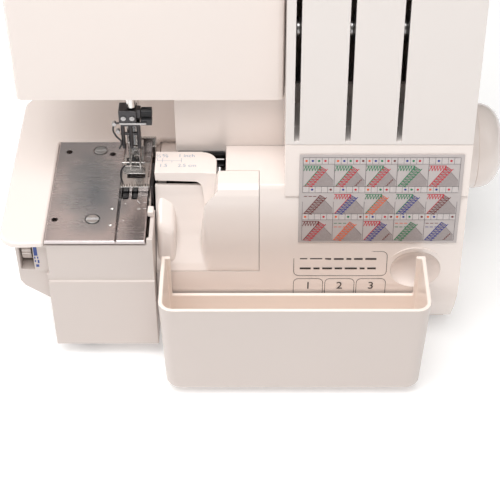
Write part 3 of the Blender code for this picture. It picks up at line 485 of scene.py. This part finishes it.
# Cloth guide arm: a solid white finger fixed on the looper cover. Its top is flat for the
# printed ruler, its right end turns down in one broad curve to the foot on the cover.
low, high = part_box("cloth_guide_arm")
arm_top, arm_low, arm_foot = high[2], high[2] - 5.5 * mm, low[2]
leg_x = high[0] - 9.0 * mm
arm = slab((low[0], low[1], arm_low), (high[0], high[1], arm_top))
bmesh.ops.bisect_plane(arm, geom=arm.verts[:] + arm.edges[:] + arm.faces[:],
                       plane_co=(leg_x, 0, 0), plane_no=(1, 0, 0))
under = [f for f in arm.faces if f.normal.z < -0.9 and f.calc_center_median().x > leg_x]
leg = bmesh.ops.extrude_face_region(arm, geom=under)
bmesh.ops.delete(arm, geom=under, context="FACES")
foot = [v for v in leg["geom"] if isinstance(v, bmesh.types.BMVert)]
bmesh.ops.translate(arm, verts=foot, vec=(0, 0, arm_foot - arm_low))


def soften(bm, offset, segments, wanted):
    """Rounds the edges whose two ends both satisfy the given test."""
    edges = [e for e in bm.edges if all(wanted(v.co) for v in e.verts)]
    bmesh.ops.bevel(bm, geom=edges, offset=offset, offset_type="OFFSET", segments=segments, profile=0.5,
                    affect="EDGES", material=-1, clamp_overlap=True)


corner_round, shoulder_round, crook_round = 11.0 * mm, 5.0 * mm, 5.4 * mm
soften(arm, corner_round, 12, lambda p: p.x > high[0] - weld and p.y > high[1] - weld)
soften(arm, shoulder_round, 10, lambda p: p.z > arm_top - weld and p.x > high[0] - corner_round - 0.5 * mm)
soften(arm, crook_round, 8, lambda p: abs(p.x - leg_x) < weld and abs(p.z - arm_low) < weld)
bmesh.ops.remove_doubles(arm, verts=arm.verts, dist=2 * weld)
lean_forward, lean_right, front_side = 0.42, 0.12, -40.0 * mm
for v in arm.verts:
    drop = max(0.0, arm_top - 3.0 * mm - v.co.z)
    if v.co.x > leg_x - 6.0 * mm and v.co.y < front_side:
        v.co.y -= drop * lean_forward
    v.co.x += drop * lean_right
stand_in("guide_arm_finger", arm, "cloth_guide_arm", gloss_white, 1.0 * mm, 4, 32.0)


def lettering(bm, words, place, size, right=(1, 0, 0), up=(0, 1, 0)):
    """Flat printed figures, made a mesh before they are put in place."""
    curve = bpy.data.curves.new("figures", "FONT")
    curve.body, curve.size = words, size
    curve.align_x = curve.align_y = "CENTER"
    curve.resolution_u = 3
    holder = bpy.data.objects.new("figures", curve)
    flat = bpy.data.meshes.new_from_object(holder)
    right, up = Vector(right), Vector(up)
    turn = Matrix((right, up, right.cross(up))).transposed().to_4x4()
    turn.translation = Vector(place)
    flat.transform(turn)
    bm.from_mesh(flat)
    bpy.data.meshes.remove(flat)
    bpy.data.objects.remove(holder)
    bpy.data.curves.remove(curve)


ruler = bmesh.new()
ruler_z = arm_top + 0.03 * mm
for x0, y0, x1, y1 in ((-61.0, -33.6, -46.9, -33.6), (-61.0, -33.6, -61.0, -31.4),
                       (-58.0, -35.2, -58.0, -31.4), (-52.5, -35.2, -52.5, -33.6),
                       (-46.9, -35.2, -46.9, -31.2)):
    stroke(ruler, (x0 * mm, y0 * mm, ruler_z), (x1 * mm, y1 * mm, ruler_z), 0.22 * mm, (0, 0, 1))
for words, x, y in (("½", -60.4, -29.2), ("⅝", -56.6, -29.2), ("1 inch", -44.0, -29.0),
                    ("1.5", -57.4, -38.2), ("2.5 cm", -43.4, -38.2)):
    lettering(ruler, words, (x * mm, y * mm, ruler_z), 4.1 * mm)
grey_blue_ink = ink("grey_blue_ink", (0.3, 0.36, 0.46), 0.5)
stand_in("ruler_print", ruler, "cloth_guide_arm", grey_blue_ink, hide=False)


# Waste tray: a thin-walled open tray with drafted sides and a rolled rim, moulded in the same ABS as the
# casings.
# Its inside and upward faces take a lighter, warmer white as painted bounce light.
tray = keep_shape("waste_tray", 0.8 * mm, satin_painted_shade_white, 4)
# Lighter, warmer white on the inside and top faces: painted bounce light.
tray.data.materials.append(moulded("tray_inside_painted_bounce_abs", (0.95, 0.84, 0.765), 0.25, 0.2))
low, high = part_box("waste_tray")
tray_middle = Vector(((low[0] + high[0]) / 2, (low[1] + high[1]) / 2, high[2]))
for face in tray.data.polygons:
    if face.normal.dot(tray_middle - face.center) > 0 or face.normal.z > 0.9:
        face.material_index = 1


# Casings: front and rear halves of the body, the face cover over the needle gear and the top
# cover with its folding handle. All are glossy ABS, screwed together from inside; the dimple in
# the front panel lets a finger hook behind the tray.
keep_shape("front_casing", 1.4 * mm, gloss_white, 4)
keep_shape("rear_casing", 1.4 * mm, gloss_white, 4)
keep_shape("face_cover", 1.6 * mm, gloss_white, 4)
keep_shape("top_cover", 2.2 * mm, gloss_white, 5)
keep_shape("presser_lifter", 1.0 * mm, gloss_white, 4)
for side in ("left", "right"):
    keep_shape(f"handle_bracket_{side}", 0.8 * mm, satin_painted_shade_white)
keep_shape("carry_handle", 2.4 * mm, gloss_white, 5)


# Tension cover and discs: a loose-lidded moulding with one open slot for each thread; pairs of
# spring-loaded plated discs grip the thread behind the slots.
pearl_white = moulded("pearl_white_abs", (0.8, 0.745, 0.715), 0.26, 0.2, 0.006)
keep_shape("tension_cover", 1.0 * mm, pearl_white, 4)
for number in (1, 2, 3):
    keep_shape(f"tension_discs_{number}", 0.3 * mm, dull_plated)


# Stitch chart: a laminated film stuck on the front panel, five by three cells. Each cell has a
# header of thread-colour dots and a small drawing of its stitch on a folded cloth.
film = Finish("laminated_film", (0.5, 0.45, 0.44), 0.22, Coat_Roughness=0.1)
wave = film.noise(0.02, 2.0)
film.wear(Base_Color=film.mix(wave, (0.49, 0.44, 0.43), (0.53, 0.48, 0.47)), Roughness=0.2 + wave * 0.1,
          Coat_Weight=0.2 + wave * 0.2)
film.bump(film.noise(0.004), 0.01 * mm, 0.4)
keep_shape("stitch_chart", 0.1 * mm, film.material, 1)

chart_low, chart_high = (Vector(corner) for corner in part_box("stitch_chart"))
film_front = {}
for v in frame["nodes"]["stitch_chart"].data.vertices:
    z = round(v.co.z, 5)
    film_front[z] = min(round(v.co.y, 5), film_front.get(z, 1.0))
film_levels = sorted(film_front.items())


def on_film(u, v, lift=0.04):
    """The point of the chart at the shares u across and v up, just above the film."""
    z = chart_low.z + v * (chart_high.z - chart_low.z)
    for (z0, y0), (z1, y1) in zip(film_levels, film_levels[1:]):
        if z <= z1:
            break
    y = y0 + (y1 - y0) * (z - z0) / (z1 - z0) - lift * mm
    return Vector((chart_low.x + u * (chart_high.x - chart_low.x), y, z))


film_normal = Vector((0.0, -1.0, 0.11))
inks = {"rule": (0.12, 0.1, 0.11), "cloth": (0.34, 0.295, 0.29), "cell": (0.6, 0.55, 0.54),
        "orange": (0.75, 0.12, 0.03), "blue": (0.02, 0.03, 0.25), "green": (0.01, 0.2, 0.08),
        "red": (0.55, 0.01, 0.03), "brown": (0.16, 0.02, 0.02)}
sheets = {tone: bmesh.new() for tone in inks}


def thread(tone, points, width=0.36):
    """A printed line through shares of the chart."""
    places = [on_film(*p, lift=0.1) for p in points]
    for one, two in zip(places, places[1:]):
        stroke(sheets[tone], one, two, width * mm, film_normal)


def patch(tone, corners, lift):
    """A filled printed shape."""
    sheets[tone].faces.new([sheets[tone].verts.new(on_film(*c, lift=lift)) for c in corners])


def loops(tone, start, end, count, swing):
    """A row of overlock stitches: a zigzag between two parallel edges."""
    (u0, v0), (u1, v1) = start, end
    points = []
    for k in range(count * 2 + 1):
        t = k / (count * 2)
        side = 1.0 if k % 2 else 0.0
        points.append((u0 + (u1 - u0) * t + swing[0] * side, v0 + (v1 - v0) * t + swing[1] * side))
    thread(tone, points)


edge_u, edge_v = 0.022, 0.03
cell_u, cell_v = (1 - 2 * edge_u) / 5, (1 - 2 * edge_v) / 3
head_v = cell_v * 0.22
threads_used = ("obgr-", "obgrn", "obgrn", "-bgr-", "-b-r-", "-b--n", "-b-r-", "o-gr-", "-bgr-", "ob-r-",
                "o--r-", "o-g-n", "ob-rn", "obg-n", "ob--n")
drawings = ("green red blue", "green red blue brown", "green red blue brown", "green green", "red red",
            "plain brown", "red blue", "green orange", "green blue", "red brown",
            "brown red", "plain orange green", "red blue brown", "plain green orange", "plain blue brown")
dot_radius = 0.72 * mm
dot_tones = {"o": "orange", "b": "blue", "g": "green", "r": "red", "n": "brown"}
for number, (used, drawing) in enumerate(zip(threads_used, drawings)):
    u0 = edge_u + cell_u * (number % 5)
    v0 = 1 - edge_v - cell_v * (number // 5 + 1)
    top = v0 + cell_v
    patch("cell", ((u0, top - head_v), (u0 + cell_u, top - head_v), (u0 + cell_u, top), (u0, top)), 0.03)
    thread("rule", ((u0, v0), (u0 + cell_u, v0), (u0 + cell_u, top), (u0, top), (u0, v0)), 0.22)
    thread("rule", ((u0, top - head_v), (u0 + cell_u, top - head_v)), 0.22)
    for slot, letter in enumerate(used):
        u = u0 + cell_u * slot / 5
        thread("rule", ((u, top - head_v), (u, top)), 0.18)
        if letter != "-":
            turn = film_normal.to_track_quat("Z", "Y").to_matrix().to_4x4()
            turn.translation = on_film(u + cell_u / 10, top - head_v / 2, lift=0.12)
            bmesh.ops.create_circle(sheets[dot_tones[letter]], cap_ends=True, segments=12, radius=dot_radius,
                                    matrix=turn)
    tones = drawing.split()
    body_top = top - head_v - 0.01
    tip = (u0 + cell_u * 0.56, body_top - cell_v * 0.06)
    foot_left = (u0 + cell_u * 0.06, v0 + 0.006)
    foot_right = (u0 + cell_u * 0.97, v0 + 0.006)
    patch("cloth", (foot_left, foot_right, (u0 + cell_u * 0.97, v0 + cell_v * 0.22), tip), 0.05)
    thread("rule", (tip, (u0 + cell_u * 0.97, v0 + cell_v * 0.2)), 0.16)
    lead, trail = tones[0], tones[1]
    if lead != "plain":
        seam, hem = body_top - cell_v * 0.2, body_top - cell_v * 0.03
        loops(lead, (u0 + 0.004, seam), (tip[0], seam), 6, (0.004, cell_v * 0.16))
        thread(lead, ((u0 + 0.004, hem), (tip[0], hem)), 0.4)
    else:
        for row in range(len(tones) - 1):
            for dash in range(3):
                u = u0 + cell_u * (0.05 + dash * 0.15)
                v = body_top - cell_v * (0.1 + 0.14 * row)
                thread(tones[-1 - row], ((u, v), (u + cell_u * 0.09, v)), 0.4)
    swing = (cell_u * 0.22, cell_v * -0.08)
    loops(trail, foot_left, tip, 8, swing)
    thread(trail if lead == "plain" else lead, (foot_left, tip), 0.45)
    thread(trail, ((foot_left[0] + swing[0], foot_left[1]), (tip[0] + swing[0], tip[1] + swing[1])), 0.4)
    if "brown" in tones[2:]:
        loops("brown", (u0 + cell_u * 0.66, v0 + 0.008), (u0 + cell_u * 0.86, v0 + cell_v * 0.26), 4,
              (0.008, -0.004))
for tone, bm in sheets.items():
    bmesh.ops.recalc_face_normals(bm, faces=bm.faces)
    stand_in(f"chart_print_{tone}", bm, "stitch_chart", ink(f"{tone}_ink", inks[tone], 0.4), hide=False)


# Panel print: thin rounded frames on the front panel. The wording is left out; short bars of
# the same weight stand for it, and the three lower frames carry plain numbers.
panel_line = ((40.0, -69.0), (50.0, -69.6), (60.0, -68.6), (74.0, -66.8), (107.0, -63.6))
print_lift = 0.16


def panel_point(x, z):
    """A point just in front of the front panel."""
    return Vector((x, at_height(panel_line, z) - print_lift, z)) * mm


def rounded_frame(bm, low, high, radius, width):
    """A thin closed line round a rectangle with rounded corners."""
    points = []
    left, right, bottom, top = low[0] + radius, high[0] - radius, low[1] + radius, high[1] - radius
    for corner, (x, z) in enumerate(((right, top), (left, top), (left, bottom), (right, bottom))):
        for step in range(5):
            a = math.pi / 2 * (corner + step / 4)
            points.append((x + radius * math.cos(a), z + radius * math.sin(a)))
    places = [panel_point(x, z) for x, z in points]
    for one, two in zip(places, places[1:] + places[:1]):
        stroke(bm, one, two, width * mm, (0, -1, 0.05))


black_ink = ink("black_ink", (0.03, 0.028, 0.028), 0.4)
frames = bmesh.new()
rounded_frame(frames, (19.6, 56.4), (75.0, 74.0), 3.2, 0.3)
frame_width, frame_pitch = 17.6, 18.9
for index, figure in enumerate(("1", "2", "3")):
    x = 19.6 + index * frame_pitch
    rounded_frame(frames, (x, 40.2), (x + frame_width, 54.2), 3.0, 0.3)
    lettering(frames, figure, panel_point(x + frame_width / 2, 48.6), 8.0 * mm, (1, 0, 0), (0, 0, 1))
bar_unit, bar_space, row_pitch = 0.72, 2.4, 6.8
for row, lengths in enumerate(((5, 9, 4, 7, 3, 6, 8), (8, 4, 7, 5, 9, 3, 6))):
    x, z = 23.6, 68.6 - row * row_pitch
    for length in lengths:
        end = x + length * bar_unit
        stroke(frames, panel_point(x, z), panel_point(end, z), 1.3 * mm, (0, -1, 0.05))
        x = end + bar_space
stand_in("panel_frames", frames, "front_casing", black_ink, hide=False)


# Needle gear: turned and milled steel, hard-plated. The clamp block takes two needles, each with
# a set screw in front, carries a knurled thumb screw and a bent wire that guides the threads.
def turned_rod(bm, start, end, radius, sides=24, taper=None):
    """A round bar between two points, as a cone operator laid along its axis."""
    start, end = Vector(start) * mm, Vector(end) * mm
    far_radius = radius if taper is None else taper
    turn = (end - start).to_track_quat("Z", "Y").to_matrix().to_4x4()
    turn.translation = (start + end) / 2
    bmesh.ops.create_cone(bm, cap_ends=True, segments=sides, radius1=radius * mm, radius2=far_radius * mm,
                          depth=(end - start).length, matrix=turn)


def small_block(bm, low, high):
    """Adds a box to a piece that is made of several milled parts."""
    middle, size = (Vector(low) + Vector(high)) / 2, Vector(high) - Vector(low)
    stretch = Matrix.Diagonal((*(size * mm), 1.0))
    bmesh.ops.create_cube(bm, size=1.0, matrix=Matrix.Translation(middle * mm) @ stretch)


def bent_wire(name, points, radius, node, material):
    """A round wire through points, made a mesh."""
    curve = bpy.data.curves.new(name, "CURVE")
    curve.dimensions, curve.bevel_depth, curve.bevel_resolution = "3D", radius * mm, 3
    curve.use_fill_caps = True
    line = curve.splines.new("BEZIER")
    line.bezier_points.add(len(points) - 1)
    for knot, point in zip(line.bezier_points, points):
        knot.co = Vector(point) * mm
        knot.handle_left_type = knot.handle_right_type = "AUTO"
    holder = bpy.data.objects.new(name, curve)
    flat = bpy.data.meshes.new_from_object(holder)
    bm = bmesh.new()
    bm.from_mesh(flat)
    for old, store in ((holder, bpy.data.objects), (curve, bpy.data.curves), (flat, bpy.data.meshes)):
        store.remove(old)
    stand_in(name, bm, node, material, angle=60.0, hide=False)


keep_shape("needle_bar", 0.4 * mm, plated)
keep_shape("presser_bar", 0.4 * mm, plated)

clamp = bmesh.new()
small_block(clamp, (-82.4, -30.6, 141.0), (-72.0, -21.4, 149.6))
small_block(clamp, (-81.6, -30.0, 138.2), (-70.4, -22.2, 141.4))
small_block(clamp, (-72.4, -28.4, 143.0), (-69.6, -23.6, 149.0))
stand_in("needle_clamp_block", clamp, "needle_clamp", dark_steel, 0.5 * mm)

clamp_trim = bmesh.new()
small_block(clamp_trim, (-82.2, -31.0, 140.2), (-66.6, -29.8, 141.4))
for x in (-79.6, -74.6):
    turned_rod(clamp_trim, (x, -31.3, 144.8), (x, -29.8, 144.8), 1.5)
    turned_rod(clamp_trim, (x, -31.5, 144.8), (x, -31.2, 144.8), 0.8, 6)
stand_in("needle_clamp_trim", clamp_trim, "needle_clamp", dull_plated, 0.15 * mm, 2, hide=False)

thumb_screw = ribbed_wheel((-26.0 * mm, 146.0 * mm), 2.5 * mm, 2.9 * mm, -69.4 * mm, -63.2 * mm, 16)
turned_rod(thumb_screw, (-72.4, -26.0, 146.0), (-69.3, -26.0, 146.0), 1.4)
small_block(thumb_screw, (-69.8, -29.6, 139.0), (-63.4, -24.2, 143.0))
stand_in("clamp_thumb_screw", thumb_screw, "needle_clamp", black_plastic.material, 0.15 * mm, 2, hide=False)

shank_r, blade_r, point_r = 1.0, 0.62, 0.06
for side in ("left", "right"):
    low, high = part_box(f"needle_{side}")
    x, y = (low[0] + high[0]) / 2 / mm, (low[1] + high[1]) / 2 / mm
    tip, top = low[2] / mm, high[2] / mm
    needle = bmesh.new()
    shank_end, blade_start, point_start = top - 13.0, top - 14.5, tip + 4.6
    turned_rod(needle, (x, y, shank_end), (x, y, top), shank_r)
    turned_rod(needle, (x, y, blade_start), (x, y, shank_end), blade_r, 20, shank_r)
    turned_rod(needle, (x, y, point_start), (x, y, blade_start), blade_r, 20)
    turned_rod(needle, (x, y, tip), (x, y, point_start), point_r, 20, blade_r)
    small_block(needle, (x - 0.2, y - 0.66, point_start + 1.0), (x + 0.2, y - 0.5, blade_start - 1.5))
    bmesh.ops.remove_doubles(needle, verts=needle.verts, dist=2 * weld)
    stand_in(f"needle_{side}_ground", needle, f"needle_{side}", plated, angle=40.0)

thread_posts = bmesh.new()
for x in (-80.6, -76.0, -71.4):
    turned_rod(thread_posts, (x, -28.6, 124.0), (x, -28.6, 138.6), 1.2)
    turned_rod(thread_posts, (x, -28.6, 121.6), (x, -28.6, 124.0), 0.8, 20, 1.2)
small_block(thread_posts, (-82.0, -29.4, 131.6), (-70.2, -27.8, 133.0))
stand_in("needle_thread_posts", thread_posts, "needle_clamp", dark_steel, 0.2 * mm, 2, hide=False)
bent_wire("thread_guide_wire", ((-79.0, -29.5, 140.2), (-84.2, -30.2, 140.6), (-86.0, -30.4, 137.4),
                                (-84.8, -30.2, 132.0), (-81.8, -30.0, 127.0), (-83.2, -30.0, 122.3)),
          0.55, "needle_clamp", dark_steel)
loop_eyes = bmesh.new()
for x, z in ((-85.2, 140.4), (-83.4, 135.0)):
    turned_rod(loop_eyes, (x, -31.0, z), (x, -28.4, z), 1.3, 16)
stand_in("thread_guide_eyes", loop_eyes, "needle_clamp", dull_plated, 0.25 * mm, 2, hide=False)


# Presser foot: a stamped and milled sole with a needle window, a slotted ankle hinged behind on a
# cross pin, a bright serrated nose and a thin wire hook that leads the threads under.
def level_window(bm, low, high):
    """Scribes a rectangle through a flat piece and gives the level faces inside it."""
    for axis, value in ((0, low[0]), (0, high[0]), (1, low[1]), (1, high[1])):
        point, normal = [0, 0, 0], [0, 0, 0]
        point[axis], normal[axis] = value * mm, 1
        bmesh.ops.bisect_plane(bm, geom=bm.verts[:] + bm.edges[:] + bm.faces[:],
                               plane_co=point, plane_no=normal)
    bm.normal_update()
    return [f for f in bm.faces if abs(f.normal.z) > 0.9
            and low[0] * mm < f.calc_center_median().x < high[0] * mm
            and low[1] * mm < f.calc_center_median().y < high[1] * mm]


def pierced(bm, low, high):
    """Cuts a rectangular window right through a flat piece."""
    inside = level_window(bm, low, high)
    rims = {e for f in inside for e in f.edges}
    bmesh.ops.delete(bm, geom=inside, context="FACES_ONLY")
    bmesh.ops.bridge_loops(bm, edges=list(rims))


def sunk(bm, low, high, depth):
    """Sinks a rectangular slot into the upward faces of a flat piece."""
    inside = [f for f in level_window(bm, low, high) if f.normal.z > 0]
    pushed = bmesh.ops.extrude_face_region(bm, geom=inside)
    bmesh.ops.delete(bm, geom=inside, context="FACES")
    floor = [v for v in pushed["geom"] if isinstance(v, bmesh.types.BMVert)]
    bmesh.ops.translate(bm, verts=floor, vec=(0, 0, -depth * mm))


foot_steel = bare_metal("bright_foot_steel", (0.58, 0.56, 0.545), 0.2, 0.012, 0.002, 0.2)
sole = bmesh.new()
small_block(sole, (-83.6, -34.6, 96.2), (-67.8, -13.0, 98.5))
pierced(sole, (-80.2, -28.0), (-69.8, -24.0))
stand_in("presser_sole", sole, "presser_foot", foot_steel, 0.3 * mm)

ankle_slots = (-80.2, -77.0, -73.8)
# Black blocks in the three ankle slots, standing in as painted shade at the slot floors.
slot_shade_blocks = bmesh.new()
for x in ankle_slots:
    small_block(slot_shade_blocks, (x - 0.95, -19.55, 99.4), (x + 0.95, -12.45, 101.2))
stand_in("foot_slot_painted_shade", slot_shade_blocks, "presser_foot", black_plastic.material, 0.1 * mm, 1, hide=False)

ankle = bmesh.new()
small_block(ankle, (-83.0, -21.0, 98.4), (-71.2, -9.0, 101.6))
for x in ankle_slots:
    sunk(ankle, (x - 1.0, -19.6), (x + 1.0, -12.4), 2.4)
small_block(ankle, (-79.0, -12.6, 101.0), (-71.0, -6.4, 110.8))
turned_rod(ankle, (-84.0, -17.0, 101.2), (-70.0, -17.0, 101.2), 1.0)
turned_rod(ankle, (-75.0, -10.0, 103.0), (-75.0, -10.0, 111.0), 3.9)
turned_rod(ankle, (-75.0, -14.4, 107.0), (-75.0, -12.0, 107.0), 2.0)
stand_in("presser_ankle", ankle, "presser_foot", foot_steel, 0.25 * mm, 3, hide=False)

nose = bmesh.new()
small_block(nose, (-83.8, -37.2, 95.5), (-66.6, -34.8, 98.9))
small_block(nose, (-70.0, -35.4, 95.6), (-66.6, -27.0, 98.2))
tooth_pitch = 1.56
for tooth in range(11):
    x = -83.0 + tooth * tooth_pitch
    turned_rod(nose, (x, -37.1, 98.7), (x, -34.6, 98.7), 0.45, 10)
bent_wire("foot_thread_hook", ((-82.6, -33.0, 98.2), (-83.4, -33.0, 104.0), (-82.6, -33.0, 109.0),
                               (-80.4, -33.0, 112.0)), 0.5, "presser_foot", dark_steel)
stand_in("presser_nose", nose, "presser_foot", plated, 0.2 * mm, 2, hide=False)


# Finger guard: a small bent steel bracket screwed behind the needles, which keeps fingers from
# the blade and stands on the needle plate.
bracket = bmesh.new()
small_block(bracket, (-73.4, 0.6, 95.1), (-64.0, 2.4, 106.6))
small_block(bracket, (-66.4, -4.0, 95.1), (-64.2, 2.2, 103.6))
stand_in("finger_guard", bracket, "needle_plate", foot_steel, 0.4 * mm, hide=False)


# Looper well: behind the guide arm the casing is open, and the blackened looper carrier, its
# pivot screw and a bright guide rail show in the dark.
well = bmesh.new()
small_block(well, (-49.5, -23.4, 96.0), (-21.4, -22.2, 114.6))
small_block(well, (-48.0, -26.5, 104.4), (-22.0, -23.4, 107.0))
stand_in("looper_carrier", well, "cast_frame", dark_steel, 0.3 * mm, hide=False)
rail = bmesh.new()
turned_rod(rail, (-48.0, -25.6, 110.6), (-21.6, -25.6, 110.6), 0.7, 16)
turned_rod(rail, (-24.8, -26.8, 101.0), (-24.8, -24.2, 103.4), 3.1, 28)
turned_rod(rail, (-24.8, -27.2, 100.6), (-24.8, -26.7, 101.1), 1.5, 6)
stand_in("looper_pivot_screw", rail, "cast_frame", dull_plated, 0.3 * mm, 3, hide=False)


# Hand wheel: a heavy white moulding with a broad rounded end, turned true on its rim, pressed on
# the main shaft. A shallow groove divides the hub from the rim.
low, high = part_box("handwheel")
wheel_y, wheel_z = (low[1] + high[1]) / 2, (low[2] + high[2]) / 2
rim = ((113.4, 6.2), (120.6, 6.4), (120.8, 23.0), (121.6, 25.4), (124.0, 26.8), (134.0, 27.0),
       (134.4, 26.6), (134.8, 27.0), (139.0, 26.6), (143.4, 25.0), (147.0, 22.0), (149.6, 17.6),
       (150.9, 11.6), (151.4, 5.0), (151.5, 0.0))
wheel = bmesh.new()
path = [wheel.verts.new((x * mm, wheel_y, wheel_z + radius * mm)) for x, radius in rim]
edges = [wheel.edges.new(pair) for pair in zip(path, path[1:])]
bmesh.ops.spin(wheel, geom=path + edges, cent=(0, wheel_y, wheel_z), axis=(1, 0, 0), angle=2 * math.pi,
               steps=96, use_merge=True)
bmesh.ops.remove_doubles(wheel, verts=wheel.verts, dist=weld)
bmesh.ops.holes_fill(wheel, edges=[e for e in wheel.edges if e.is_boundary])
bmesh.ops.recalc_face_normals(wheel, faces=wheel.faces)
stand_in("hand_wheel_turned", wheel, "handwheel", gloss_white, angle=50.0)


# Switch and inlet: bought-in black parts that snap into the right side.
keep_shape("power_switch", 0.5 * mm, black_plastic.material)
keep_shape("power_inlet", 0.5 * mm, black_plastic.material)


# Spool stand: a white tray on the back with four holders, a steel mast and its thread tree.
keep_shape("spool_stand", 1.4 * mm, satin_painted_shade_white, 4)
for number in range(1, 5):
    keep_shape(f"spool_holder_{number}", 0.5 * mm, satin_painted_shade_white)
keep_shape("mast_tube", 0.4 * mm, plated)
keep_shape("mast_rod", 0.4 * mm, plated)
keep_shape("thread_tree", 0.5 * mm, dull_plated)
